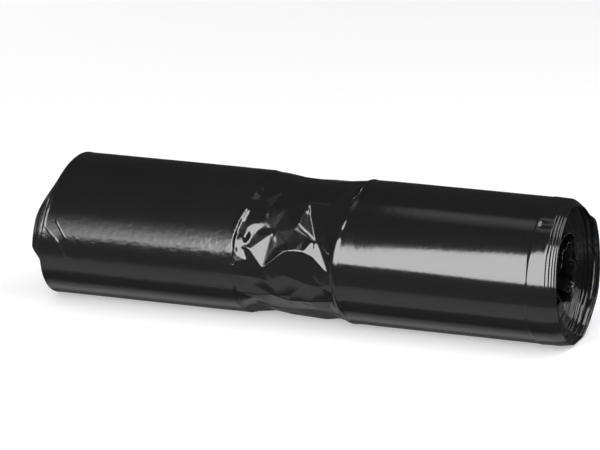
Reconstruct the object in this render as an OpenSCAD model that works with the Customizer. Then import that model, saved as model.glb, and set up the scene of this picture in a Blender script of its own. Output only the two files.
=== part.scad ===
// Coreless roll of folded refuse sacks, lying on its side.
// X runs along the roll, Z is up, and the soft roll rests on its flat spot at Z = 0.
// Angles round the roll start at the top and grow towards -Y.

/* [Roll] */
// Length from fold edge to fold edge, measured along the axis
roll_length = 400; // [320:5:480]
// Outer diameter over the last turn
roll_d = 108; // [92:1:128]
// Width of the flat spot under the roll
flat_w = 22; // [12:1:30]
// Facets in one turn
facets = 64; // [40:8:72]

/* [Wound wall] */
// Diameter inside the tightly wound wall
wall_bore = 62; // [52:1:70]
// Bundles of film that show in the wall at each end
wall_turns = 8; // [5:1:10]
// Depth of the dished end inside the rim
dish_depth = 17; // [8:1:24]

/* [Outer wraps] */
// Wraps of film whose fold edges show on the outside
wraps = 6; // [4:1:8]
// Height of one wrap over the next
wrap_t = 0.35; // [0.2:0.05:0.6]
// How far each wrap's fold edge stands back from the one under it, at the right end
right_wrap_step = 2.1; // [1:0.1:3]
// The same at the left end
left_wrap_step = 0.2; // [0.1:0.1:3]
// Direction of the last sack's torn edge
tail_angle = 225; // [135:5:315]

/* [Loose core] */
// Turns that have come loose in the hollow core
loose_turns = 1.5; // [1:0.5:2]
// Mean diameter of the innermost loose turn, inside
core_d = 24; // [18:1:28]
// Thickness of the loose bundle at its free edge
loose_t = 1.6; // [1:0.1:2.4]
// Depth of the dents pressed into the loose turns
lobe_depth = 3; // [0:0.5:4]
// How far the loose turns stand back from the rim
loose_setback = 7; // [2:1:14]

/* [Ends] */
// How far the left end leans out on one side, and in on the other
left_lean = 7.5; // [0:0.5:9]
// Direction in which it leans out
left_lean_angle = 150; // [90:5:180]
// How far the right end leans out at the bottom, and in at the top
right_lean = 2; // [0:0.5:8]
// How far the turns under the last one bulge out of the left end
left_bulge = 6.5; // [0:0.5:8]
// Directions between which they bulge out
bulge_from = 35; // [20:5:50]
bulge_to = 112; // [105:1:130]
// Distance of the inner fold line from the right rim
fold_line = 22; // [17:1:30]
// Drop of the outside past the inner fold line
fold_drop = 0.6; // [0:0.1:1.2]

/* [Slack waist] */
// Length of the middle where only two layers of film meet
waist_l = 79; // [60:1:100]
// Centre of the waist from the middle of the roll
waist_x = -7; // [-20:1:20]
// Drop from a drum to the film of the waist
waist_ledge = 0.8; // [0.2:0.1:2]
// How much further the slack film sinks between the drums
waist_sink = 2.2; // [0.4:0.1:3]
// Height of the crumples, from the highest to the lowest
crumple_h = 5; // [1:0.1:7]
// How far the knots where creases meet are pushed about
knot_shift = 6; // [0:0.5:8]
// Which of the random patterns of crumples is drawn
crumple_seed = 5; // [1:1:99]

/* [Hidden] */

roll_r = roll_d / 2;
wall_r = wall_bore / 2;
core_r = core_d / 2;
film_black = [0.075, 0.075, 0.08];

// Thickness of one bundle in the wall
bundle_t = (roll_r - wraps * wrap_t - wall_r) / wall_turns;
// Radius of the outside where the last turn starts; it ends one wrap higher
body_r = roll_r - wrap_t;
// Height of the axis over the flat spot
axis_z = sqrt(body_r * body_r - flat_w * flat_w / 4);
// Last turn of the spiral; turn 0 is where the loose film meets the wall
last_turn = wall_turns + wraps - 1;
steps = (last_turn + loose_turns) * facets;
// Turning over which the bulge rises and falls
bulge_rise = 41;
bulge_fall = 16;
// Turns of the wall that bulge out with the wraps
bulge_turns = 3;
// The two ends reach out by different amounts, so the box is centred again
left_reach = max([for (i = [0:steps]) -min(left_edge(i))]);
right_reach = max([for (i = [0:steps]) max(right_edge(i))]);
centre_shift = (left_reach - right_reach) / 2;
waist_lo = waist_x - waist_l / 2;
waist_hi = waist_x + waist_l / 2;
// Width of the short ramp at the inner fold line
fold_ramp = 1.2;
// Grid rows along the waist, and grid steps between the knots of the large and the small creases
crumple_rows = 12;
large_step = 4;
small_step = 2;
small_share = 0.3;
// Width of the ramp at the waist's two edges
ledge_ramp = 1.5;
// Random numbers from -1 to 1 that the knots draw on, and the strides between two draws
draws = rands(-1, 1, 997, crumple_seed);
draw_strides = [131, 17, 311];
// What a draw is for: a knot's height, its place along the roll or its place round it
knot_height = 0;
knot_along = 1;
knot_around = 2;

function lerp(a, b, share) = a + (b - a) * share;
// Share of the way into the loose film: 0 at the wall and 1 at the free edge
function looseness(turn) = max(0, -turn / loose_turns);
function turn_at(i) = i / facets - loose_turns;
function angle_at(turn) = tail_angle + 360 * (turn - last_turn);

// Inner face of the spiral. The loose turns shrink towards the core and are dented.
function radius(turn, angle) =
    turn >= 0
    ? wall_r + bundle_t * min(turn, wall_turns) + wrap_t * max(0, turn - wall_turns)
    : lerp(wall_r, core_r, looseness(turn)) + lobe_depth * looseness(turn) * sin(3 * angle + 70);
// Outer face of the spiral. In the wall it is the next turn's inner face.
function outer_radius(turn, angle) =
    turn >= 0
    ? radius(turn + 1, angle)
    : radius(turn, angle) + lerp(bundle_t, loose_t, min(1, -3 * turn));

// How far a turn's fold edge stands back from the rim
function setback(turn, wrap_step) =
    turn > wall_turns ? wrap_step * max(0, turn - wall_turns - 1)
    : turn >= 0 ? dish_depth * sqrt(1 - pow(turn / wall_turns, 2))
    : lerp(dish_depth, loose_setback, looseness(turn));
// How far a fold edge leans out, as a share: 1 at the rim, in the direction of the lean
function lean(r, angle) = r * cos(angle) / roll_r;
// Share of the bulge at a direction, and at a turn: all of it under the wraps and none in the last turn
function bulge_at(angle) =
    let (a = (angle % 360 + 360) % 360)
    max(0, min(1, (a - bulge_from) / bulge_rise, (bulge_to - a) / bulge_fall));
function bulge_in(turn) =
    max(0, min(1, 1 - (wall_turns - turn) / bulge_turns, (last_turn - turn) / (wraps - 1)));
function left_x(turn, r, angle) =
    -roll_length / 2 + setback(turn, left_wrap_step) - left_lean * lean(r, angle - left_lean_angle)
    - left_bulge * bulge_at(angle) * bulge_in(turn);
function right_x(turn, r, angle) =
    roll_length / 2 - setback(turn, right_wrap_step) - right_lean * lean(r, angle);
// Places along the roll of the inner and the outer corner of a fold edge
function left_edge(i) =
    let (turn = turn_at(i), angle = angle_at(turn))
    [left_x(turn, radius(turn, angle), angle), left_x(turn, outer_radius(turn, angle), angle)];
function right_edge(i) =
    let (turn = turn_at(i), angle = angle_at(turn))
    [right_x(turn, radius(turn, angle), angle), right_x(turn, outer_radius(turn, angle), angle)];

// The roll is a little thinner past the inner fold line
function past_fold(x) = min(1, max(0, (x - roll_length / 2 + fold_line) / fold_ramp + 1));
// The whole section is pressed in where it meets the ground
function pressed(angle) = cos(angle) < -axis_z / body_r ? -axis_z / (body_r * cos(angle)) : 1;
function place(r, angle, x) =
    let (s = (r - fold_drop * past_fold(x) * r / roll_r) * pressed(angle))
    [x + centre_shift, -s * sin(angle), max(0, axis_z + s * cos(angle))];

// Crumpled film is flat between knots, which lie where creases meet
function knot(step, row, col, what) =
    draws[([row, col % (facets / step), what + 3 * step] * draw_strides) % len(draws)];
// The creases across a field lean one way and the other by turns
function leans_back(row, col) = (floor(row / large_step) + floor(col / large_step)) % 2 == 1;
function between_knots(step, row, col, what) =
    let (
        i = floor(row / step),
        j = floor(col / step),
        u = row / step - i,
        v = col / step - j,
        a = knot(step, i, j, what),
        b = knot(step, i + 1, j, what),
        c = knot(step, i, j + 1, what),
        d = knot(step, i + 1, j + 1, what)
    )
    leans_back(row, col)
    ? (u + v < 1 ? a + (b - a) * u + (c - a) * v : d + (c - d) * (1 - u) + (b - d) * (1 - v))
    : (u > v ? a + (b - a) * u + (d - b) * v : a + (c - a) * v + (d - c) * u);
// 0 along the waist's two edges and 1 from the first knots inwards
function inside(row) = min(1, row / small_step, (crumple_rows - row) / small_step);
function depth(row, col) =
    waist_ledge + inside(row) * (
        waist_sink
        + crumple_h / 2 * (1 - small_share) * between_knots(large_step, row, col, knot_height)
        + crumple_h / 2 * small_share * between_knots(small_step, row, col, knot_height)
    );
function waist_point(r, angle, row, col) =
    let (turned = inside(row) * knot_shift * between_knots(large_step, row, col, knot_around) / r * 180 / PI)
    place(
        r - depth(row, col),
        angle + turned,
        lerp(waist_lo, waist_hi, row / crumple_rows) + knot_shift * between_knots(large_step, row, col, knot_along)
    );

// One line of points along the outside of the roll, from the left edge to the right edge
function outside_line(i) =
    let (
        turn = turn_at(i),
        angle = angle_at(turn),
        r = outer_radius(turn, angle),
        col = (i - outside_from) % facets,
        low = waist_point(r, angle, 0, col),
        high = waist_point(r, angle, crumple_rows, col)
    )
    concat(
        [place(r, angle, low[0] - centre_shift - ledge_ramp)],
        [for (row = [0:crumple_rows]) waist_point(r, angle, row, col)],
        [
            place(r, angle, high[0] - centre_shift + ledge_ramp),
            place(r, angle, roll_length / 2 - fold_line - fold_ramp),
            place(r, angle, roll_length / 2 - fold_line)
        ]
    );
line_count = crumple_rows + 5;

// Four corners of the film at one step: inner left, inner right, outer left, outer right
function film_section(i) =
    let (
        turn = turn_at(i),
        angle = angle_at(turn),
        ri = radius(turn, angle),
        ro = outer_radius(turn, angle),
        left = left_edge(i),
        right = right_edge(i)
    )
    [place(ri, angle, left[0]), place(ri, angle, right[0]), place(ro, angle, left[1]), place(ro, angle, right[1])];
function inner_left(i) = 4 * i;
function inner_right(i) = 4 * i + 1;
function outer_left(i) = 4 * i + 2;
function outer_right(i) = 4 * i + 3;

// The step where the loose film meets the wall, and the first step of the last turn
wall_from = loose_turns * facets;
outside_from = steps - facets;
function outside_points(i) =
    [for (k = [0:line_count - 1]) 4 * (steps + 1) + (i - outside_from) * line_count + k];
// The last turn starts under the torn edge, whose two corners lie on its first line
function outside(i) =
    concat(
        [outer_left(i), i == outside_from ? inner_left(steps) : outer_left(i)],
        outside_points(i),
        [i == outside_from ? inner_right(steps) : outer_right(i), outer_right(i)]
    );
// Film that faces the core, from right to left. The loose film's back starts on one of these lines.
function core_side(i) =
    let (met = i == wall_from + facets)
    [
        inner_right(i),
        met ? outer_right(wall_from) : inner_right(i),
        met ? outer_left(wall_from) : inner_left(i),
        inner_left(i)
    ];

// Faces between two lines of points, where a point that both lines or a line share twice makes no face
function band(a, b, flips = []) = [
    for (k = [0:len(a) - 2])
        for (face = flips[k]
            ? [[a[k], a[k + 1], b[k + 1]], [a[k], b[k + 1], b[k]]]
            : [[a[k + 1], b[k], a[k]], [a[k + 1], b[k + 1], b[k]]])
            if (face[0] != face[1] && face[1] != face[2] && face[2] != face[0]) face
];
function turn_faces(i) =
    let (next = i + 1, over = i + facets, over_next = i + facets + 1)
    concat(
        // The fold edges at the two ends
        band([outer_right(i), inner_right(i)], [outer_right(next), inner_right(next)]),
        band([inner_left(i), outer_left(i)], [inner_left(next), outer_left(next)]),
        i < wall_from + facets ? band(core_side(i), core_side(next)) : [],
        // The back of the loose film
        i < wall_from ? band([outer_left(i), outer_right(i)], [outer_left(next), outer_right(next)]) : [],
        // Steps up to the next turn's fold edges
        i >= wall_from && i < outside_from
        ? concat(
            band([inner_right(over), outer_right(i)], [inner_right(over_next), outer_right(next)]),
            band([outer_left(i), inner_left(over)], [outer_left(next), inner_left(over_next)])
        )
        : []
    );
function outside_faces(i) =
    let (flips = [for (k = [-3:crumple_rows - 1]) k >= 0 && !leans_back(k, i - outside_from)])
    band(outside(i), outside(i + 1), flips);
// The film's free edge in the core, and the torn edge of the last sack
start_edge = band([inner_left(0), inner_right(0)], [outer_left(0), outer_right(0)]);
tail_edge = band(
    concat([outer_left(steps)], outside_points(steps), [outer_right(steps)]),
    concat([inner_left(steps)], outside_points(outside_from), [inner_right(steps)])
);

module bag_roll() {
    sections = [for (i = [0:steps]) each film_section(i)];
    lines = [for (i = [outside_from:steps]) each outside_line(i)];
    faces = concat(
        [for (i = [0:steps - 1]) each turn_faces(i)],
        [for (i = [outside_from:steps - 1]) each outside_faces(i)],
        start_edge,
        tail_edge
    );
    color(film_black) polyhedron(points = concat(sections, lines), faces = faces, convexity = 12);
}

bag_roll();
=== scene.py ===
"""Looks of a coreless roll of black refuse sacks: glossy film wound in two drums with a crumpled waist."""
import math

import bpy
import numpy as np
from mathutils import Matrix, Vector
from mathutils.bvhtree import BVHTree
from mathutils.geometry import delaunay_2d_cdt


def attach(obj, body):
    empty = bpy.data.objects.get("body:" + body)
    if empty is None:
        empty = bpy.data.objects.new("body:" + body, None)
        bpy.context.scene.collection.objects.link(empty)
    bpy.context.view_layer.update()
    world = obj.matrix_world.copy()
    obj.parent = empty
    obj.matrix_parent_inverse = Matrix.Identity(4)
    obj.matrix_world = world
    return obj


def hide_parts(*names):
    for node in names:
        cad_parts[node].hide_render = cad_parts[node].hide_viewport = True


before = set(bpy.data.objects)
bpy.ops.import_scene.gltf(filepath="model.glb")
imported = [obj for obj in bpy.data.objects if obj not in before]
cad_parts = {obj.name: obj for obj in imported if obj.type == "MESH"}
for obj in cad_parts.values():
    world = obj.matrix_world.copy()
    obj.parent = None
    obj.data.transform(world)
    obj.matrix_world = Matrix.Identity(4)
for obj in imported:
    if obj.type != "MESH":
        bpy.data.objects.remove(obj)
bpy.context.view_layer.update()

# Sizes in millimetres, as in the part. Angles round the roll start at the top and grow towards -Y.
MM = 0.001
ROLL_L = 400.0
ROLL_R = 54.0
FLAT_W = 22.0
WRAPS = 6
WRAP_T = 0.35
WALL_R = 31.0
DISH = 17.0
TAIL = 225.0
LEAN = {"left": 7.5, "right": 2.0}
LEAN_ANGLE = {"left": 150, "right": 180}
WRAP_STEP = {"left": 0.2, "right": 2.1}
# The roll's middle lies to the right of the box's middle, because the left end reaches out further
MID_X = 3.98
# Turns drawn in the wall at each end, and steps round one turn
WALL_TURNS = 20
STEPS = 400

BODY_R = ROLL_R - WRAP_T
AXIS_Z = math.sqrt(BODY_R**2 - (FLAT_W / 2) ** 2)
LAST_TURN = WALL_TURNS + WRAPS - 1
WALL_T = (ROLL_R - WRAPS * WRAP_T - WALL_R) / WALL_TURNS

rng = np.random.default_rng(7)


def smooth(t):
    """0 below 0, 1 above 1 and a smooth rise between them."""
    t = np.clip(t, 0, 1)
    return t * t * (3 - 2 * t)


def waves(angle, parts):
    """A sum of sine waves of the angle in degrees; each part is (height, waves in a turn, phase)."""
    total = 0
    for part_height, count, phase in parts:
        total = total + part_height * np.sin(np.radians(count * angle + phase))
    return total


# The right rim is pressed flat at the back of its top
FLAT_RIM = 4.0
FLAT_RIM_SPAN = (303, 320, 346, 378)
FLAT_RIM_X = (190, 200)


def rim_dent(x, angle):
    """How far the film at the right rim is pressed in, by its place and angle."""
    along = smooth((x - FLAT_RIM_X[0]) / (FLAT_RIM_X[1] - FLAT_RIM_X[0]))
    turned = np.where(angle % 360 < 90, angle % 360 + 360, angle % 360)
    start, full, last, end = FLAT_RIM_SPAN
    around = smooth((turned - start) / (full - start)) * smooth((end - turned) / (end - last))
    return FLAT_RIM * along * around


def place(r, angle, x):
    """Points in metres. The section is pressed flat where it meets the ground."""
    r = r - rim_dent(x, angle) * r / ROLL_R
    turn = np.radians(angle)
    cos = np.cos(turn)
    contact = -AXIS_Z / BODY_R
    pressed = np.where(cos < contact, -AXIS_Z / (BODY_R * np.minimum(cos, contact)), 1.0)
    s = r * pressed
    z = np.maximum(0, AXIS_Z + s * cos)
    return np.stack(np.broadcast_arrays(x + MID_X, -s * np.sin(turn), z), -1) * MM


def angle_at(turn):
    """Angle of the spiral at a turn."""
    return TAIL + 360 * (turn - LAST_TURN)


def radius(turn):
    """Inner side of the spiral at a turn."""
    return WALL_R + WALL_T * np.minimum(turn, WALL_TURNS) + WRAP_T * np.maximum(0, turn - WALL_TURNS)


# How the fold edges wander in and out along the roll. Waves of about a whole number in a turn run on
# through neighbouring turns, and the others throw each turn out by a different amount.
EDGE_WAVES = {
    "right": [
        (0.8, 1.02, 40), (0.5, 2.01, 200), (0.3, 3.03, 10), (0.9, 0.29, 0), (0.5, 0.61, 90), (0.1, 7.3, 0),
    ],
    "left": [
        (0.7, 0.98, 140), (0.4, 2.02, 20), (0.3, 2.97, 70), (0.8, 0.31, 30), (0.5, 0.57, 10), (0.1, 6.7, 0),
    ],
}
# How much less the edges of the outer turns wander, and turns over which this sets in
WRAP_CALM = 0.8
CALM_TURNS = 2
# At the left end the turns under the last one bulge out on the near side, some further than others
BULGE = 6.5
BULGE_SPAN = (35, 76, 96, 112)
# Share of the bulge by the turn
BULGE_SHARES = [
    (13, 0), (19.6, 0.85), (20.6, 1.0), (21.6, 0.86), (22.6, 0.52), (23.6, 0.42), (24.6, 0), (25, 0),
]
# At the right end the outer turns stick out a little on the far side: how far, where, and turns over
# which it sets in
FAR_RIM = 1.6
FAR_RIM_SPAN = (215, 245, 303, 312)
FAR_RIM_TURNS = 3


def window(angle, start, full, last, end):
    """1 between the two middle angles and 0 outside the outer two."""
    angle = angle % 360
    return smooth((angle - start) / (full - start)) * smooth((end - angle) / (end - last))


def fold_edge(side, turn):
    """Distance of a turn's fold edge from the roll's middle."""
    angle = angle_at(turn)
    share = np.clip(turn / WALL_TURNS, 0, 1)
    dish = DISH * np.sqrt(1 - share**2)
    wraps = WRAP_STEP[side] * np.maximum(0, turn - WALL_TURNS - 1)
    calm = 1 - WRAP_CALM * smooth((turn - WALL_TURNS + CALM_TURNS) / CALM_TURNS)
    wander = calm * np.abs(waves(360 * turn, EDGE_WAVES[side]))
    lean = LEAN[side] * radius(turn) / ROLL_R * np.cos(np.radians(angle - LEAN_ANGLE[side]))
    edge = ROLL_L / 2 - dish - wraps - wander + lean
    if side == "left":
        share = np.interp(turn, *zip(*BULGE_SHARES))
        edge = edge + BULGE * share * window(angle, *BULGE_SPAN)
    else:
        outer_turns = smooth((turn - WALL_TURNS + FAR_RIM_TURNS) / FAR_RIM_TURNS)
        edge = edge + FAR_RIM * window(angle, *FAR_RIM_SPAN) * outer_turns
    return edge


# Section of a fold edge: share of the turn's thickness, and how far back from the edge in millimetres
WALL_BEAD = [(0.06, 0.9), (0.12, 0.25), (0.35, 0.0), (0.65, 0.0), (0.88, 0.25), (0.94, 0.9)]
WRAP_BEAD = {
    "left": [(0.0, 0.0), (0.3, 0.02), (0.6, 0.12), (0.84, 0.35), (0.96, 0.7), (1.0, 1.1)],
    "right": [(0.0, 0.0), (0.2, 0.05), (0.45, 0.25), (0.7, 0.7), (0.9, 1.2), (1.0, 1.7)],
}
BEAD = len(WALL_BEAD)
# Turns over which the first section changes into the second
BLEND = 1.2
# How far a wall turn's outer side follows the next turn's edge where that one sticks out further
FOLLOW = 0.9
# Height and width of the lip that the folded film makes along the edges at the left end
LIP = 0.28
LIP_W = 2.2


def bead(side, turn):
    """Radii and places along the roll of the points across a fold edge, for an array of turns."""
    outward = -1 if side == "left" else 1
    blend = smooth((turn - WALL_TURNS + BLEND / 2) / BLEND)[:, None]
    wall, wrap = np.array(WALL_BEAD), np.array(WRAP_BEAD[side])
    share = wall[:, 0] * (1 - blend) + wrap[:, 0] * blend
    back = wall[:, 1] * (1 - blend) + wrap[:, 1] * blend
    inner, outer = radius(turn)[:, None], radius(turn + 1)[:, None]
    lip = LIP * blend if side == "left" else 0
    edge = fold_edge(side, turn)[:, None]
    rise = np.maximum(0, fold_edge(side, turn + 1)[:, None] - edge)
    x = outward * (edge - back + FOLLOW * rise * (1 - blend) * share)
    return inner + (outer + lip - inner) * share, x


def make_piece(name, points, faces, material):
    """Adds a smooth mesh that rides on the roll and stands for its solid."""
    mesh = bpy.data.meshes.new(name)
    mesh.from_pydata(points.reshape(-1, 3).tolist(), [], faces)
    mesh.validate()
    mesh.update()
    mesh.polygons.foreach_set("use_smooth", np.ones(len(mesh.polygons), bool))
    piece = bpy.data.objects.new(name, mesh)
    bpy.context.collection.objects.link(piece)
    mesh.materials.append(material)
    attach(piece, "root")
    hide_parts("bag_roll")


def grid_faces(rows, columns):
    """Faces of a grid of points whose rows run round the roll."""
    index = np.arange(rows * columns).reshape(rows, columns)
    corners = (index[:-1, :-1], index[:-1, 1:], index[1:, 1:], index[1:, :-1])
    return np.stack(corners, -1).reshape(-1, 4).tolist()


# The waist's two edges: angle, and place along the roll
WAIST_EDGE = {
    "left": [
        (0, -38), (20, -39), (35, -40), (45, -42), (55, -45), (65, -47), (75, -49), (90, -49.5),
        (120, -50.5), (150, -50), (180, -47), (215, -50), (250, -46), (285, -49), (320, -44), (360, -38),
    ],
    "right": [
        (0, 37), (20, 38), (35, 35), (45, 33.5), (55, 31.5), (65, 30), (75, 29), (90, 28.5),
        (120, 29.5), (150, 31), (180, 34), (215, 30), (250, 34), (285, 31), (320, 35), (360, 37),
    ],
}
# Depth of the film just inside the edges
LEDGE = 0.8
# Knots are the points where creases of the slack film meet: place along the roll, angle and, where it
# isn't worked out, depth. They are chosen on the side that the photograph shows.
KNOTS = {
    "a1": (-20.5, 67, 2.2), "a2": (-26, 95.5, 1.6), "a3": (-36, 81, 2.0),
    "b1": (-46, 71, 1.5), "b2": (-43, 78, 2.3), "b3": (-38.5, 90.5, 2.5), "b4": (-46, 85.5, 1.3),
    "d1": (-40, 71.5, 0.7), "d2": (-37, 63, 1.8), "d3": (-31, 58.8, 1.8), "d4": (-24, 57, 1.5),
    "c1": (-38, 76, 2.8), "c2": (-34.8, 67.6, 3.05), "c3": (-29, 63.5, 3.15), "c4": (-22, 61.5, 2.9),
    "f1": (-28.5, 52.5, 0.5), "f2": (-25, 47, 0.3), "f3": (-24, 54.5, 1.4),
    "g1": (-19.4, 63.5, 2.9), "g2": (-17.6, 63.5, 2.3), "g3": (-15, 76.5, 2.4), "g4": (-18.6, 70.5, 2.4),
    "h": (-8.5, 79.5, 1.2), "j": (-2.5, 78.3, 1.3),
    "k1": (5, 78.5, 1.8), "k2": (9.5, 71.5, 2.6), "k4": (15.5, 70.3, 3.0), "k5": (25, 94, 1.5),
    "k6": (13, 81.5, 1.9),
    "m1": (20.8, 60, 3.2), "m2": (23.2, 62.5, 2.3), "m3": (26.8, 78, 1.6),
    "n1": (3.5, 37, 0.3), "n2": (-1, 56.5, 0.9), "n3": (7, 66, 3.6),
    "r1": (-4, 61, 3.1), "r2": (-8, 73, 2.3),
    "s1": (-34, 113, 2.1), "s2": (-29, 104.5, 0.8), "s3": (-26.5, 119, 3.1),
    "t1": (-37.5, 128, 2.0), "t2": (-34.5, 121.5, 1.0), "t3": (-29.5, 136, 3.5), "t4": (-36.5, 143, 4.2),
    "u1": (-23.5, 121.5, 2.5), "u2": (-18, 122, 1.8), "u3": (-21.5, 134, 3.7), "u4": (-26.5, 138.5, 4.0),
    "v1": (8, 107, 2.6), "v2": (9, 124, 1.2), "v3": (-8, 127, 2.4),
    "w1": (23.5, 124, 3.0), "w2": (27, 129, 1.6), "w3": (24.5, 140, 2.4), "w4": (21, 141.5, 3.2),
    "x1": (-9, 100, 1.5), "x2": (-9, 123, 3.6), "x3": (-17, 119), "x4": (-23.5, 108), "x5": (8.5, 97),
    "x6": (20, 108),
    "y1": (-47.5, 93, 0.6), "y2": (-44, 104, 1.6), "y3": (-41, 97, 2.4),
    "top1": (-18, 25), "top2": (8, 20), "top3": (-32, 38), "top4": (-12, 45, 1.0), "top5": (20, 36),
    "low1": (-8, 143, 3.2), "low2": (10, 138, 2.8), "low3": (-44, 140), "low4": (-23, 147),
}
# Creases that are sure to run from knot to knot
CREASES = [
    "a1 a2", "a2 a3", "a3 a1", "b1 b2", "b2 b3", "b3 b4", "b2 a3", "b3 a2", "d1 d2", "d2 d3", "d3 d4",
    "c1 c2", "c2 c3", "c3 c4", "d1 c1", "c1 a3", "c4 a1", "f1 f2", "f2 f3", "f1 f3", "g1 g2", "g2 g3",
    "g3 g4", "g4 g1", "g3 h", "a2 h", "h j", "j k1", "k1 k2", "k2 k4", "k4 k5", "k5 k6", "k6 k1", "k2 k6",
    "k4 k6", "m1 m2", "m2 m3", "m3 m1", "n1 n2", "n2 n3", "n3 k4", "n1 k4", "n2 k4", "s1 s2", "s2 s3",
    "s3 s1", "t1 t2", "t2 t3", "t3 t4", "t4 t1", "u1 u2", "u2 u3", "u3 u4", "u4 u1", "v1 v2", "v2 v3",
    "v3 v1", "w1 w2", "w2 w3", "w3 w4", "w4 w1", "h x1", "x1 x2", "x2 x3", "x3 x4", "x4 a2", "x5 v1",
    "x1 x5", "y1 y2", "y2 y3", "y3 y1",
]
# Which way facets face: a point of the facet, the angle from the top that it faces, and how far it is
# turned to the right, as the slope along the roll. None leaves either of them open.
FACETS = [
    (-12, 72, 58, -0.2), (-15, 82, 96, 0.1), (-2, 67, 65, 0.0), (-1, 72, 66, 0.0), (3, 74, 66, 0.0),
    (-6, 77, 70, 0.0), (24, 77, None, -0.2), (26, 87, None, -0.3), (27, 93, None, -0.25),
    (28, 66, None, -0.2), (-3, 46, 46, -0.1),
    (9, 86, 96, None), (16, 91, 97, None), (4, 85, 94, None), (-16, 85, 96, None),
    (-14, 92, 98, 0.0), (-20, 101, 101, 0.0), (-16, 109, 102, 0.0), (-12, 114, 102, 0.0), (-1, 92, 91, 0.1),
    (2, 101, 92, 0.1), (12, 104, 99, 0.1), (-3, 110, 123, 0.0), (12, 113, 99, 0.1), (18, 119, 122, 0.0),
    (18, 100, 98, 0.0), (25, 102, 92, 0.0), (4, 120, 110, 0.0), (-22, 115, 122, 0.0), (-26, 110, 120, 0.0),
    (-29.5, 112, 110, 0.0), (-34, 128, 138, 0.0), (-34, 136, 139, 0.0), (-22, 127, 137, 0.0),
    (-24, 133, 137, 0.0), (25, 127, 138, 0.0), (24, 132, 138, 0.0), (24, 137, 139, 0.0),
    (-30, 127, 122, 0.0), (-26, 132, 122, None), (14, 129, 122, 0.0), (-28, 121, 122, None),
    (-38, 107, 98, None), (-40, 118, 120, None),
]
# Narrow tucks in the facets: from one place and angle to another, height and width
TUCKS = [
    (16.5, 70.3, 27.8, 81.5, 0.55, 2.0), (12.5, 68, 12.5, 77.5, -0.35, 1.6), (-43, 77.5, -36, 81, 0.4, 1.6),
    (-24, 94, -10, 80, 0.30, 1.8), (-6, 77.5, -5, 80, 0.5, 1.2), (3.4, 36, 5.2, 47, 0.45, 2.2),
    (-1, 57.5, 6, 63.5, 0.3, 1.8), (23, 57, 27, 63, 0.3, 1.6), (-9, 84, -8, 98, 0.2, 2.0),
    (9, 108, 14, 118, 0.25, 2.0), (-45, 92, -42, 108, 0.3, 2.4), (-48, 98, -46, 115, 0.25, 2.0),
    (-20, 98, -19, 114, 0.2, 2.5), (14, 95, 19, 106, 0.2, 2.0), (0, 129, 9, 133, 0.3, 2.0),
    (-12, 134, -4, 131, 0.3, 2.0), (25, 131, 23, 140, 0.4, 1.6),
]
# Random knots round the rest: angles between which their rows lie, angle from row to row, places in the
# rows by turns, how far a knot may lie from its place in millimetres and degrees, and depth
ROWS_SPAN = (164, 372)
ROW_STEP = 17.0
ROWS_X = [[-34, -14, 6, 24], [-40, -24, -4, 15]]
ROW_SCATTER = 5
RANDOM_DEPTH = (0.6, 5.0)
# Angle from knot to knot along the waist's edges
EDGE_STEP = 8.0
# Angle by which the facets run on past each end of the turn, so that they close all round
OVERLAP = 30
# Depth that a knot tends to where no facet asks for another, the least and greatest depth, and how far
# past these a depth may come out before it is held
MEAN_DEPTH = 2.4
DEPTH_RANGE = (-0.4, 7.0)
DEPTH_SLIP = 0.01
# Weights in the solution of the depths: of a fixed depth, of what no facet asks for, and of a facet's tilt
FIRM = 30
SLACK = 0.08
TILT_WEIGHT = 0.7
# How often the depths are solved, each time with the knots held that went past the limits
ROUNDS = 8
# Where the creases are rounder: place, angle and reach in millimetres, and how often they are blurred
ROUND_SPOTS = [(-31, 61, 9), (-46, 76, 6)]
ROUND_PASSES = 22
# Length of a degree round the roll
ARC = math.radians(1) * ROLL_R
# Radius inside the film from which its depth is measured outwards
PROBE_R = 30


def edge_of_waist(side, angle):
    """Place along the roll of one of the waist's edges."""
    table = np.array(WAIST_EDGE[side], float)
    return np.interp(angle % 360, table[:, 0], table[:, 1])


def waist_knots():
    """Places of all the knots, and the depth of those that have one from the start."""
    places = [knot[:2] for knot in KNOTS.values()]
    fixed = {k: knot[2] for k, knot in enumerate(KNOTS.values()) if len(knot) == 3}
    for k, angle in enumerate(np.arange(*ROWS_SPAN, ROW_STEP)):
        for x in ROWS_X[k % 2]:
            fixed[len(places)] = rng.uniform(*RANDOM_DEPTH)
            x_off = rng.uniform(-ROW_SCATTER, ROW_SCATTER)
            angle_off = rng.uniform(-ROW_SCATTER, ROW_SCATTER)
            places.append((x + x_off, (angle + angle_off) % 360))
    for side in ("left", "right"):
        for angle in np.arange(0, 360, EDGE_STEP):
            fixed[len(places)] = LEDGE
            places.append((float(edge_of_waist(side, angle)), angle))
    return np.array(places), fixed


def waist_facets(places):
    """Triangles between the knots, with the creases as edges. Each corner is a knot and a whole turn."""
    names = {name: i for i, name in enumerate(KNOTS)}
    points = [Vector((x, (angle + turn) * ARC)) for turn in (-360, 0, 360) for x, angle in places]
    creases = []
    for pair in CREASES:
        a, b = pair.split()
        creases.append((len(places) + names[a], len(places) + names[b]))
    made = delaunay_2d_cdt(points, creases, [], 0, 1e-6)
    facets = []
    for face in made[2]:
        corners = [made[3][k] for k in face]
        middle = sum(made[0][k][1] for k in face) / 3
        if all(corners) and -OVERLAP * ARC < middle < (360 + OVERLAP) * ARC:
            facets.append([(c[0] % len(places), 360 * (c[0] // len(places) - 1)) for c in corners])
    return facets


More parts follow.
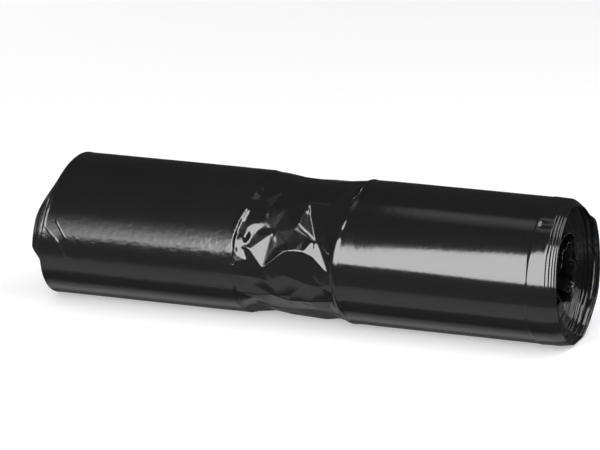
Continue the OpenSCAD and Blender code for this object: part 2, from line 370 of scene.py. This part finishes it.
def solve_depths(places, fixed, facets):
    """Depths under the drums with which the facets face the ways that are asked for."""
    count = len(places)
    rows, values = [], []

    def equation(parts, value, weight):
        """Asks that the knots' depths, each times its share, add up to the value."""
        row = np.zeros(count)
        for k, share in parts:
            row[k] += share * weight
        rows.append(row)
        values.append(value * weight)

    for k in range(count):
        if k in fixed:
            equation([(k, 1)], fixed[k], FIRM)
        else:
            equation([(k, 1)], MEAN_DEPTH, SLACK)
    for facet in facets:
        corner = np.array([(places[k][0], (places[k][1] + turn) * ARC) for k, turn in facet])
        e1, e2 = corner[1] - corner[0], corner[2] - corner[0]
        area = e1[0] * e2[1] - e2[0] * e1[1]
        # Slopes of the depth along the roll and round it, as shares of the three corners' depths
        along = np.array([e1[1] - e2[1], e2[1], -e1[1]]) / area
        around = np.array([e2[0] - e1[0], -e2[0], e1[0]]) / area
        wanted = None
        for x, angle, faces, tilt in FACETS:
            p = np.array([x, angle * ARC]) - corner[0]
            u = (p[0] * e2[1] - e2[0] * p[1]) / area
            v = (e1[0] * p[1] - p[0] * e1[1]) / area
            if u > 0 and v > 0 and u + v < 1:
                wanted = (faces, tilt)
        middle = corner[:, 1].mean() / ARC
        knots = [k for k, turn in facet]
        weight = math.sqrt(abs(area) / 2)
        faces, tilt = wanted or (None, None)
        if faces is None:
            equation(list(zip(knots, around)), 0.0, SLACK * weight)
        else:
            equation(list(zip(knots, around)), math.tan(math.radians(faces - middle)), weight)
        if tilt is None:
            equation(list(zip(knots, along)), 0.0, SLACK * weight)
        else:
            equation(list(zip(knots, along)), tilt, TILT_WEIGHT * weight)
    # Knots that come out too high or too deep are held at the limit, and the rest solved again
    for _ in range(ROUNDS):
        depths = np.linalg.lstsq(np.array(rows), np.array(values), rcond=None)[0]
        high, deep = depths < DEPTH_RANGE[0] - DEPTH_SLIP, depths > DEPTH_RANGE[1] + DEPTH_SLIP
        for k in np.flatnonzero(high | deep):
            equation([(k, 1)], float(np.clip(depths[k], *DEPTH_RANGE)), FIRM)
    return np.clip(depths, *DEPTH_RANGE)


def waist_depth(xs, angles):
    """Depth of the flat facets under the drums, on a grid of angles and places along the roll."""
    places, fixed = waist_knots()
    facets = waist_facets(places)
    depths = solve_depths(places, fixed, facets)
    turn = np.radians(places[:, 1])
    r = ROLL_R - depths
    corners = np.stack([places[:, 0], -r * np.sin(turn), r * np.cos(turn)], -1)
    shape = BVHTree.FromPolygons(corners.tolist(), [[k for k, turn in facet] for facet in facets])
    depth = np.full((len(angles), len(xs)), LEDGE)
    for i, angle in enumerate(np.radians(angles)):
        outward = Vector((0, -math.sin(angle), math.cos(angle)))
        for j, x in enumerate(xs):
            hit = shape.ray_cast(Vector((x, 0, 0)) + PROBE_R * outward, outward, ROLL_R)
            if hit[0] is not None:
                depth[i, j] = ROLL_R - PROBE_R - hit[3]
    return depth


def soften(grid, passes):
    """Blurs a grid a little. The rows run all the way round, so the first follows the last."""
    for _ in range(passes):
        grid = (np.roll(grid, 1, 0) + 2 * grid + np.roll(grid, -1, 0)) / 4
        padded = np.pad(grid, ((0, 0), (1, 1)), mode="edge")
        grid = (padded[:, :-2] + 2 * grid + padded[:, 2:]) / 4
    return grid


# Start and end of the finely drawn stretch round the waist, and points across it
WAIST_GRID = (-60.0, 45.0, 131)
# Share of a tuck's length over which it rises at each end
TUCK_END = 0.3
# Share of a round spot's reach from which it fades out
ROUND_CORE = 0.6
# Width and height of the rounded folds along the waist's edges. The left one lies nearly all inside its
# edge and the right one outside.
FOLD_W = 4.2
FOLD_H = 0.4
FOLD_INSIDE = 0.9
# Width of the ramp down to the ledge
LEDGE_RAMP = 1.2
# How much flatter the folds are pressed in some places, as a share, and the spans of these
LEFT_PRESSED = [(0.9, (55, 60, 78, 81)), (0.8, (81, 88, 108, 120))]
RIGHT_PRESSED = [(0.9, (55, 60, 63, 68))]
# Depth of the drum's film along the folds
DRUM_DEPTH = 0.15
# The inner fold's line near the right rim: place, waves, rise over a short ramp, and length behind it in
# which the film comes down again
FOLD_LINE_X = 177.0
FOLD_LINE_WAVES = [(0.7, 2, 30), (0.3, 5, 0)]
FOLD_LINE_H = 0.35
FOLD_LINE_RAMP = 1.2
FOLD_LINE_FADE = 16
# A dimple beside the fold line: its place, angle and depth, the length over which it gets deep and the one
# from which it fades out, and its width
DIMPLE_X = 179
DIMPLE_ANGLE = 36
DIMPLE_H = 0.9
DIMPLE_RISE = 2.8
DIMPLE_FLAT = 3.36
DIMPLE_W = 3.64
# Faint waves of the drums: height, waves in a turn, how much they twist and how close they follow each
# other along the roll, both in degrees a millimetre
RIPPLE_H = 0.04
RIPPLE_COUNT = 3
RIPPLE_TWIST = 4.0
RIPPLE_RUN = 2.3
# Scratches near the left rim, from one place and angle to another, and their width and height
SCRATCHES = [
    ((-200.5, 78), (-187.5, 92)),
    ((-191.5, 86.5), (-181, 104)),
    ((-191.5, 72.5), (-182, 88)),
]
SCRATCH_W = 0.5
SCRATCH_H = 0.27
# Length over which a scratch fades out at each end
SCRATCH_END = 2


def waist_relief(angles):
    """Depth of the waist and its edges, where the drum's film ends in a narrow rounded fold."""
    xs = np.linspace(*WAIST_GRID)
    depth = waist_depth(xs, angles)
    for x0, a0, x1, a1, tuck_h, tuck_w in TUCKS:
        along, around = x1 - x0, (a1 - a0) * ARC
        length = math.hypot(along, around)
        dx, ds = xs - x0, (angles[:, None] % 360 - a0) * ARC
        run = (dx * along + ds * around) / length
        off = (ds * along - dx * around) / length
        ends = smooth(run / (TUCK_END * length)) * smooth((length - run) / (TUCK_END * length))
        depth = depth - tuck_h * ends * np.maximum(0, 1 - np.abs(off) / (tuck_w / 2))
    depth = soften(depth, 1)
    rounder = soften(depth, ROUND_PASSES)
    for x0, a0, reach in ROUND_SPOTS:
        away = np.hypot(xs - x0, (angles[:, None] % 360 - a0) * ARC)
        share = 1 - smooth((away - reach * ROUND_CORE) / (reach * ROUND_CORE))
        depth = depth + (rounder - depth) * share
    lo, hi = edge_of_waist("left", angles)[:, None], edge_of_waist("right", angles)[:, None]
    inside = smooth((xs - lo) / LEDGE_RAMP) * smooth((hi - xs) / LEDGE_RAMP)
    folds = np.zeros_like(depth)
    for run, pressed in ((lo + FOLD_W * FOLD_INSIDE - xs, LEFT_PRESSED), (xs - hi, RIGHT_PRESSED)):
        height = FOLD_H * (1 - sum(share * window(angles, *span) for share, span in pressed))
        folds = folds + height[:, None] * np.sin(np.pi * np.clip(run / FOLD_W, 0, 1))
    return xs, inside * depth - folds + DRUM_DEPTH * (1 - inside)


def film_relief(x, angle):
    """Depth of the drums' small forms: the inner fold's line and its dimple, faint waves and scratches."""
    past = x - FOLD_LINE_X - waves(angle, FOLD_LINE_WAVES)
    depth = -FOLD_LINE_H * smooth(past / FOLD_LINE_RAMP) * (1 - smooth(past / FOLD_LINE_FADE))
    ripple = np.sin(np.radians(RIPPLE_COUNT * angle + RIPPLE_TWIST * x)) * np.sin(np.radians(RIPPLE_RUN * x))
    depth = depth + RIPPLE_H * ripple
    past = x - DIMPLE_X
    along = np.clip(past / DIMPLE_RISE, 0, 1) * (1 - smooth((past - DIMPLE_FLAT) / FOLD_LINE_FADE))
    around = (angle % 360 - DIMPLE_ANGLE) * ARC / DIMPLE_W
    depth = depth + DIMPLE_H * along * np.exp(-(around**2))
    for (x0, a0), (x1, a1) in SCRATCHES:
        along = np.array([x1 - x0, (a1 - a0) * ARC])
        length = np.hypot(*along)
        along = along / length
        dx, ds = x - x0, (angle % 360 - a0) * ARC
        run = dx * along[0] + ds * along[1]
        off = ds * along[0] - dx * along[1]
        ends = smooth(run / SCRATCH_END) * smooth((length - run) / SCRATCH_END)
        depth = depth - SCRATCH_H * ends * np.exp(-((off / SCRATCH_W) ** 2))
    return depth


# How much closer the rows round the last turn lie on the side that the photograph shows, and where
CLOSER = 1.6
CLOSER_SPAN = (5, 30, 145, 170)
# Places along the roll where the spacing of the last turn's points changes, and points from the left lip
# to the waist's fine stretch and from there to the right edge
LEFT_STOP = -180
LEFT_COUNTS = (6, 42, 12)
RIGHT_STOPS = (172, 184)
RIGHT_COUNTS = (13, 22, 6)
# How far the torn edge runs into the turn below
TORN_SINK = 0.05


def build_outer_film(material):
    """The last turn from rim to rim, with its two fold edges and its torn end."""
    fine = np.linspace(0, 1, 5 * STEPS + 1)
    density = 1 + CLOSER * window(angle_at(LAST_TURN - 1 + fine), *CLOSER_SPAN)
    rows = np.concatenate([[0], np.cumsum((density[1:] + density[:-1]) / 2)])
    turn = LAST_TURN - 1 + np.interp(np.linspace(0, rows[-1], STEPS + 1), rows, fine)
    angle = angle_at(turn)
    left_r, left_x = bead("left", turn)
    right_r, right_x = bead("right", turn)
    xs, relief = waist_relief(angle[:-1])
    relief = np.vstack([relief, relief[:1]])
    outer = radius(turn + 1)[:, None]

    def stations(stops, counts):
        """Places in each row from the first stop to the last, without these two."""
        parts = []
        for start, end, count in zip(stops, stops[1:], counts):
            places = start + (end - start) * (np.arange(count) / count)
            parts.append(np.broadcast_to(places, (len(turn), count)))
        return np.hstack(parts)[:, 1:]

    lip_start = left_x[:, -1:]
    left_part = stations((lip_start, lip_start + LIP_W, LEFT_STOP, WAIST_GRID[0]), LEFT_COUNTS)
    lip = LIP * (1 - smooth((left_part - lip_start) / LIP_W))
    right_part = stations((WAIST_GRID[1], *RIGHT_STOPS, right_x[:, -1:]), RIGHT_COUNTS)
    x = np.hstack([left_x, left_part, np.tile(xs, (len(turn), 1)), right_part, right_x[:, ::-1]])
    r = np.hstack([
        left_r,
        outer + lip,
        outer - relief,
        np.tile(outer, right_part.shape[1]),
        right_r[:, ::-1],
    ])
    r = r - film_relief(x, angle[:, None])
    points = place(r, angle[:, None], x)
    # The torn edge: one more row just under the last one, down to the turn below
    edge = place(r[-1:] - WRAP_T - TORN_SINK, angle[-1:, None], x[-1:])
    points = np.concatenate([points, edge])
    make_piece("outer_film", points, grid_faces(*points.shape[:2]), material)


# Turns next to the core that are dented, and the waves of their dents
DENTED_TURNS = 8
WALL_DENTS = [(0.8, 3, 70), (0.5, 5, 20), (0.3, 8, 60)]


def build_end(side, material):
    """The fold edges of all the turns under the last one, in one long spiral."""
    rows = (LAST_TURN - 1) * STEPS + 1
    turn = np.arange(rows + STEPS) / STEPS
    r, x = bead(side, turn)
    angle = angle_at(turn)[:, None]
    loose = 1 - smooth(turn / DENTED_TURNS)
    r = r + (loose * waves(angle[:, 0], WALL_DENTS))[:, None]
    points = place(r, angle, x)
    index = np.arange(points.shape[0] * BEAD).reshape(-1, BEAD)
    # Faces across each turn's edge, and from there to the same angle of the next turn
    row, next_row = index[: rows - 1], index[1:rows]
    across = np.stack([row[:, :-1], row[:, 1:], next_row[:, 1:], next_row[:, :-1]], -1)
    step = np.stack([
        row[:, -1],
        index[STEPS : STEPS + rows - 1, 0],
        index[STEPS + 1 : STEPS + rows, 0],
        next_row[:, -1],
    ], -1)
    faces = np.concatenate([across.reshape(-1, 4), step])
    if side == "right":
        faces = faces[:, ::-1]
    make_piece("fold_edges_" + side, points, faces.tolist(), material)


# The loose film: turns inside the wall, thickness, steps round a turn, and stations along it, which lie
# closer near the mouths
LOOSE_TURNS = 2.25
LOOSE_T = 0.9
LOOSE_STEPS = 180
LOOSE_STATIONS = 61
# Radius that its turns come in to
LOOSE_R = 13.5
# How far its edges lie further in than those of the wall's outer turns, and how much more where they are
# ragged: at least, and by waves
SET_BACK = {"left": 7, "right": 5}
RAGGED_BACK = 2
RAGGED = [(1.6, 1.3, 50), (0.9, 3.7, 0), (0.5, 11.3, 20)]
# Its dents: large lobes, crumples all along, and more of them that fade inwards from the mouths. Each kind
# twists from end to end by some degrees. The crumples' angle is stretched, which makes the turns differ.
LOBES = [(2.8, 3, 70), (1.6, 5, 150), (0.7, 9, 0)]
LOBE_TWIST = 30
CRUMPLES = [(0.5, 4, 0), (0.35, 7, 90)]
CRUMPLE_TWIST = 500
CRUMPLE_STRETCH = 1.7
MOUTH_CRUMPLES = [(0.5, 6, 0), (0.3, 13, 50)]
MOUTH_TWIST = 900
MOUTH_STRETCH = 1.3
MOUTH_FADE = 14
# How far it flares out at the right end, where, how unevenly, and how much less at its innermost end
FLARE = 3.0
FLARE_X = (185, 197)
FLARE_WAVES = [(0.5, 5, 40)]
FLARE_LOSS = 0.6
# Its start runs on in the wall, a little further out than the film drawn there
WALL_SINK = 0.1
# How far its rounded edges stick out, as a share of its thickness
TIP = 0.4


def build_core(material):
    """The loose film in the hollow core, from the wall inwards, dented and with ragged edges."""
    turn = np.linspace(-LOOSE_TURNS, 1, int((LOOSE_TURNS + 1) * LOOSE_STEPS) + 1)
    angle = angle_at(turn)[:, None]
    loose = np.clip(-turn / LOOSE_TURNS, 0, 1)[:, None]
    share = (1 - np.cos(np.linspace(0, np.pi, LOOSE_STATIONS))) / 2
    # Inwards from the wall, the edges turn ragged within a sixth of a turn, and within about half a turn
    # they come out to their place in the mouths
    in_core = smooth(-turn * 6)[:, None]
    edges = []
    for side in ("left", "right"):
        wall_edge = fold_edge(side, np.maximum(turn, 0))[:, None]
        reach = wall_edge + (DISH - SET_BACK[side]) * smooth(loose * 4)
        edges.append(reach - in_core * (RAGGED_BACK + np.abs(waves(angle, RAGGED))))
    x = -edges[0] + (edges[0] + edges[1]) * share
    dents = waves(angle + LOBE_TWIST * (share - 0.5), LOBES)
    dents = dents + waves(angle * CRUMPLE_STRETCH + CRUMPLE_TWIST * share, CRUMPLES)
    mouth = np.exp(-MOUTH_FADE * np.minimum(share, 1 - share))
    dents = dents + mouth * waves(angle * MOUTH_STRETCH + MOUTH_TWIST * share, MOUTH_CRUMPLES)
    flare = FLARE * smooth((x - FLARE_X[0]) / (FLARE_X[1] - FLARE_X[0]))
    flare = flare * smooth(loose * 5) * (1 - FLARE_LOSS * loose) * (1 + waves(angle, FLARE_WAVES))
    in_wall = turn[:, None] > 0
    base = np.where(in_wall, radius(np.maximum(turn, 0))[:, None], WALL_R + (LOOSE_R - WALL_R) * loose)
    r = base + flare + loose * dents + in_wall * WALL_SINK
    inner, outer = place(r, angle, x), place(r + LOOSE_T, angle, x)
    middle_r = r + LOOSE_T / 2
    left_tip = place(middle_r[:, :1], angle, x[:, :1] - LOOSE_T * TIP)
    right_tip = place(middle_r[:, -1:], angle, x[:, -1:] + LOOSE_T * TIP)
    # Once round the section: along the inside, over the right edge, back along the outside
    section = np.concatenate([inner, right_tip, outer[:, ::-1], left_tip, inner[:, :1]], axis=1)
    make_piece("loose_film", section, grid_faces(*section.shape[:2]), material)


def empty_tree(name):
    """A new material of that name, and its node tree, with no nodes in it yet."""
    material = bpy.data.materials.new(name)
    material.use_nodes = True
    material.node_tree.nodes.clear()
    return material, material.node_tree


def object_axes(tree):
    """Outputs X, Y and Z with a point's place in the piece's own coordinates."""
    coordinates = tree.nodes.new("ShaderNodeTexCoord")
    split = tree.nodes.new("ShaderNodeSeparateXYZ")
    tree.links.new(coordinates.outputs["Object"], split.inputs[0])
    return split.outputs


def map_range(tree, value, start, end, low=0, high=1, kind="LINEAR"):
    """Output that goes from low to high while the value goes from start to end."""
    node = tree.nodes.new("ShaderNodeMapRange")
    node.interpolation_type = kind
    for socket, number in (("From Min", start), ("From Max", end), ("To Min", low), ("To Max", high)):
        node.inputs[socket].default_value = number
    tree.links.new(value, node.inputs["Value"])
    return node.outputs["Result"]


def combine(tree, operation, first, second):
    """Output of a sum or product of two values, of which the second may be a number."""
    node = tree.nodes.new("ShaderNodeMath")
    node.operation = operation
    tree.links.new(first, node.inputs[0])
    if isinstance(second, float):
        node.inputs[1].default_value = second
    else:
        tree.links.new(second, node.inputs[1])
    return node.outputs[0]


def choose_shader(tree, factor, otherwise, chosen):
    """Output with the chosen shader where the factor is 1 and the other where it is 0."""
    node = tree.nodes.new("ShaderNodeMixShader")
    for socket, output in zip(node.inputs, (factor, otherwise, chosen)):
        tree.links.new(output, socket)
    return node.outputs[0]


# The film's refractive index, and its two blacks, which pass into each other in soft clouds
FILM_IOR = 1.75
FILM_BLACKS = {"A": (0.0068, 0.0068, 0.0072, 1), "B": (0.0095, 0.0095, 0.0101, 1)}
# Spots to a metre along the three axes, and levels of detail, of its three patterns: the clouds, the draw
# lines, which run round the roll, and a fine mottle
CLOUDS = ((28, 28, 28), 3)
DRAW_LINES = ((420, 60, 60), 2)
MOTTLE = ((250, 250, 250), 2)
# Least and greatest roughness, and the range of the draw lines' pattern over which it changes
FILM_ROUGH = (0.095, 0.125)
LINE_RANGE = (0.3, 0.7)
# The left drum's film is rougher: by how much, and between which places it sets in, in metres
LEFT_ROUGHER = 0.06
LEFT_DRUM_X = (-0.040, -0.052)
# Depth of the bumps, and shares of it for the draw lines and for the mottle, which is faint except on the
# left drum
BUMP_DEPTH = 0.00006
LINE_BUMP = 0.10
MOTTLE_BUMP = (0.5, 3.0)


def film_material():
    """Black polythene: a glossy skin with faint clouds, draw lines and a mottle."""
    material = bpy.data.materials.new("black_film")
    material.use_nodes = True
    tree = material.node_tree
    shader = tree.nodes["Principled BSDF"]
    shader.inputs["IOR"].default_value = FILM_IOR
    coordinates = tree.nodes.new("ShaderNodeTexCoord")

    def pattern(stretch, detail):
        """Output with random spots between 0 and 1."""
        mapping = tree.nodes.new("ShaderNodeMapping")
        mapping.inputs["Scale"].default_value = stretch
        tree.links.new(coordinates.outputs["Object"], mapping.inputs["Vector"])
        texture = tree.nodes.new("ShaderNodeTexNoise")
        texture.inputs["Scale"].default_value = 1
        texture.inputs["Detail"].default_value = detail
        tree.links.new(mapping.outputs[0], texture.inputs["Vector"])
        return texture.outputs["Fac"]

    colour = tree.nodes.new("ShaderNodeMix")
    colour.data_type = "RGBA"
    for socket, black in FILM_BLACKS.items():
        colour.inputs[socket].default_value = black
    tree.links.new(pattern(*CLOUDS), colour.inputs["Factor"])
    tree.links.new(colour.outputs["Result"], shader.inputs["Base Color"])

    left_drum = map_range(tree, object_axes(tree)["X"], *LEFT_DRUM_X, kind="SMOOTHSTEP")
    draw_lines = pattern(*DRAW_LINES)
    rough = map_range(tree, draw_lines, *LINE_RANGE, *FILM_ROUGH, "SMOOTHSTEP")
    rough = combine(tree, "ADD", rough, combine(tree, "MULTIPLY", left_drum, LEFT_ROUGHER))
    tree.links.new(rough, shader.inputs["Roughness"])

    mottle_bump = map_range(tree, left_drum, 0, 1, *MOTTLE_BUMP, "SMOOTHSTEP")
    mottle = combine(tree, "MULTIPLY", pattern(*MOTTLE), mottle_bump)
    height = combine(tree, "ADD", combine(tree, "MULTIPLY", draw_lines, LINE_BUMP), mottle)
    bump = tree.nodes.new("ShaderNodeBump")
    bump.inputs["Strength"].default_value = 1.0
    bump.inputs["Distance"].default_value = BUMP_DEPTH
    tree.links.new(height, bump.inputs["Height"])
    tree.links.new(bump.outputs["Normal"], shader.inputs["Normal"])
    return material


film = film_material()
build_outer_film(film)
build_end("left", film)
build_end("right", film)
build_core(film)

# The camera, fitted to the roll's outline and rims in the photograph: the angles it looks along, its focal
# length in pixels, its distance from the roll's middle, and where that middle lies in the picture
AZIMUTH = math.radians(20.67)
ELEVATION = math.radians(15.51)
FOCAL_PX = 4272.0
DISTANCE = 58.73 * ROLL_R * MM
PICTURE = (600, 450)
ROLL_CENTRE_PX = (319.8, 246.8)
SENSOR = 36.0


def build_camera():
    """Adds the camera. The picture's middle is moved off the roll's, instead of shifting the lens."""
    look = Vector((
        -math.sin(AZIMUTH) * math.cos(ELEVATION),
        math.cos(AZIMUTH) * math.cos(ELEVATION),
        -math.sin(ELEVATION),
    ))
    right = Vector((math.cos(AZIMUTH), math.sin(AZIMUTH), 0))
    up = right.cross(look)
    roll_centre = Vector((MID_X, 0, AXIS_Z)) * MM
    side_px = ROLL_CENTRE_PX[0] - PICTURE[0] / 2
    down_px = ROLL_CENTRE_PX[1] - PICTURE[1] / 2
    data = bpy.data.cameras.new("camera")
    data.sensor_width = SENSOR
    data.lens = FOCAL_PX / PICTURE[0] * SENSOR
    data.clip_end = 50
    camera = bpy.data.objects.new("camera", data)
    bpy.context.collection.objects.link(camera)
    centre = roll_centre - look * DISTANCE - (right * side_px - up * down_px) * DISTANCE / FOCAL_PX
    camera.matrix_world = Matrix.Translation(centre) @ Matrix((right, up, -look)).transposed().to_4x4()
    bpy.context.scene.camera = camera


build_camera()


def stage_panel(name, corners, material):
    """Adds a flat panel with the given corners, in metres, that belongs to the stage."""
    mesh = bpy.data.meshes.new(name)
    mesh.from_pydata(corners, [], [tuple(range(len(corners)))])
    mesh.materials.append(material)
    panel = bpy.data.objects.new(name, mesh)
    bpy.context.collection.objects.link(panel)
    return panel


def emitter(name, corners, strength, fades=()):
    """Adds a flat soft light that the camera doesn't see.

    Each fade is (axis, place where the light is dark, place where it is at full strength).
    """
    material, tree = empty_tree(name)
    glow = tree.nodes.new("ShaderNodeEmission")
    glow.inputs["Strength"].default_value = strength
    for number, (axis, dark, full) in enumerate(fades):
        place_on_axis = object_axes(tree)[axis]
        if number == 0:
            level = map_range(tree, place_on_axis, dark, full, high=strength)
        else:
            level = combine(tree, "MULTIPLY", level, map_range(tree, place_on_axis, dark, full))
        tree.links.new(level, glow.inputs["Strength"])
    out = tree.nodes.new("ShaderNodeOutputMaterial")
    tree.links.new(glow.outputs[0], out.inputs["Surface"])
    stage_panel(name, corners, material).visible_camera = False


# The key light stands a metre in front of the roll and reaches from under the table's level to high up at
# its right. Its top comes down towards the left. The left drum mirrors a dimmer light of its own beside
# it, which fades upwards and to the left. Both outlines are seen from the front: place along X, and height.
FRONT_Y = -1.0
KEY_OUTLINE = [
    (-0.385, -0.07), (-0.25, -0.045), (-0.2, -0.25), (0.25, -0.25), (0.25, 1.5), (0.05, 1.5), (-0.1, 1.0),
    (-0.206, 0.73), (-0.3, 0.49), (-0.36, 0.27), (-0.385, 0.2),
]
KEY_STRENGTH = 6.3
LEFT_OUTLINE = [(-0.68, -0.1), (-0.385, -0.07), (-0.385, 0.7), (-0.68, 0.7)]
LEFT_STRENGTH = 4.2
# The fade upwards is there twice, which makes it steeper
LEFT_FADES = [("X", -1.2, -0.42), ("Z", 0.7, -0.03), ("Z", 0.7, -0.03)]
emitter("key_light", [(x, FRONT_Y, z) for x, z in KEY_OUTLINE], KEY_STRENGTH)
emitter("left_light", [(x, FRONT_Y, z) for x, z in LEFT_OUTLINE], LEFT_STRENGTH, LEFT_FADES)

# A weak light overhead, which fades towards its front and its back, and two stronger ones to the right of
# it, for what is turned that way. The last one slants.
OVERHEAD_Z = 1.05
TOP_OUTLINE = [(-0.25, -0.27), (0.25, -0.27), (0.25, 0.12), (-0.25, 0.12)]
TOP_STRENGTH = 0.5
TOP_FADES = [("Y", -0.32, -0.05), ("Y", 0.2, 0.0)]
HIGH_OUTLINE = [(0.26, -0.35), (0.7, -0.35), (0.7, 0.36), (0.26, 0.36)]
HIGH_STRENGTH = 3.0
SIDE_CORNERS = [(0.75, -0.8, 0.9), (1.5, -0.4, 0.9), (1.3, -0.1, 1.6), (0.55, -0.5, 1.6)]
SIDE_STRENGTH = 2.2
emitter("top_light", [(x, y, OVERHEAD_Z) for x, y in TOP_OUTLINE], TOP_STRENGTH, TOP_FADES)
emitter("high_light", [(x, y, OVERHEAD_Z) for x, y in HIGH_OUTLINE], HIGH_STRENGTH)
emitter("side_light", SIDE_CORNERS, SIDE_STRENGTH)

# Two dim cards behind the roll, which only its back and its ends mirror
CARD_Y = 1.1
CARD_Z = (0.02, 0.7)
CARD_SPANS = {"left_card": (-2.0, -0.8), "right_card": (0.9, 2.1)}
CARD_STRENGTH = 1.5
for name, (start, end) in CARD_SPANS.items():
    corners = [(start, CARD_Y, CARD_Z[0]), (end, CARD_Y, CARD_Z[0])]
    corners += [(end, CARD_Y, CARD_Z[1]), (start, CARD_Y, CARD_Z[1])]
    emitter(name, corners, CARD_STRENGTH)

# The table, seen from above. The camera sees it pale all over, with a share of light of its own.
TABLE = [(-1.6, -0.42), (-0.35, -0.42), (-0.1, -0.6), (0.03, -0.45), (1.6, -0.4), (1.6, 2.2), (-1.6, 2.2)]
TABLE_COLOUR = (0.8, 0.8, 0.8, 1)
TABLE_LIFT = 0.35
# Painted reflection: to the film's reflections only, the table glows dark, with two painted light strips in
# front of the roll.
# Place along Y, and brightness, which stays the same beyond the first place and the last one
PAINTED_STRIPS_START = -0.150
PAINTED_STRIPS = [
    (PAINTED_STRIPS_START, 0.08), (-0.098, 0.10), (-0.091, 0.33), (-0.075, 0.40), (-0.059, 0.40), (-0.055, 0.08),
    (-0.040, 0.05), (-0.037, 0.24), (-0.030, 0.50), (-0.026, 0.42), (-0.023, 0.12),
]


def table_material():
    """The table's looks: pale to the camera, and in the film's reflections a painted reflection glow, dark
    with two light strips.
    """
    material, tree = empty_tree("pale_table")
    path = tree.nodes.new("ShaderNodeLightPath")
    diffuse = tree.nodes.new("ShaderNodeBsdfDiffuse")
    diffuse.inputs["Color"].default_value = TABLE_COLOUR
    lift = tree.nodes.new("ShaderNodeEmission")
    lift.inputs["Strength"].default_value = TABLE_LIFT
    seen = tree.nodes.new("ShaderNodeAddShader")
    tree.links.new(diffuse.outputs[0], seen.inputs[0])
    tree.links.new(lift.outputs[0], seen.inputs[1])
    lit = choose_shader(tree, path.outputs["Is Camera Ray"], diffuse.outputs[0], seen.outputs[0])

    steps = tree.nodes.new("ShaderNodeValToRGB")
    elements = steps.color_ramp.elements
    while len(elements) < len(PAINTED_STRIPS):
        elements.new(0.5)
    for element, (y, value) in zip(elements, PAINTED_STRIPS):
        element.position = 1 - y / PAINTED_STRIPS_START
        element.color = (value, value, value, 1)
    tree.links.new(map_range(tree, object_axes(tree)["Y"], PAINTED_STRIPS_START, 0), steps.inputs[0])
    # Painted reflection: a glow with the strips' brightness, which only glossy rays see
    painted_reflection_glow = tree.nodes.new("ShaderNodeEmission")
    tree.links.new(steps.outputs[0], painted_reflection_glow.inputs["Color"])
    surface = choose_shader(tree, path.outputs["Is Glossy Ray"], lit, painted_reflection_glow.outputs[0])
    out = tree.nodes.new("ShaderNodeOutputMaterial")
    tree.links.new(surface, out.inputs["Surface"])
    return material


stage_panel("table", [(x, y, 0) for x, y in TABLE], table_material())

# Strength of the world: on what isn't mirrored, in reflections, and to the camera, where 1 is white
WORLD_LEVELS = {"soft": 0.6, "room": 0.042, "backdrop": 1.0}


def build_world():
    """Sets the world: white to the camera, a dim room in reflections and soft light on everything else."""
    world = bpy.data.worlds.new("studio")
    bpy.context.scene.world = world
    world.use_nodes = True
    tree = world.node_tree
    tree.nodes.clear()
    path = tree.nodes.new("ShaderNodeLightPath")
    shades = {}
    for name, level in WORLD_LEVELS.items():
        shade = tree.nodes.new("ShaderNodeBackground")
        shade.inputs["Color"].default_value = (1, 1, 1, 1)
        shade.inputs["Strength"].default_value = level
        shades[name] = shade.outputs[0]
    room = choose_shader(tree, path.outputs["Is Glossy Ray"], shades["soft"], shades["room"])
    seen = choose_shader(tree, path.outputs["Is Camera Ray"], room, shades["backdrop"])
    out = tree.nodes.new("ShaderNodeOutputWorld")
    tree.links.new(seen, out.inputs["Surface"])


build_world()
bpy.context.scene.view_settings.view_transform = "Standard"
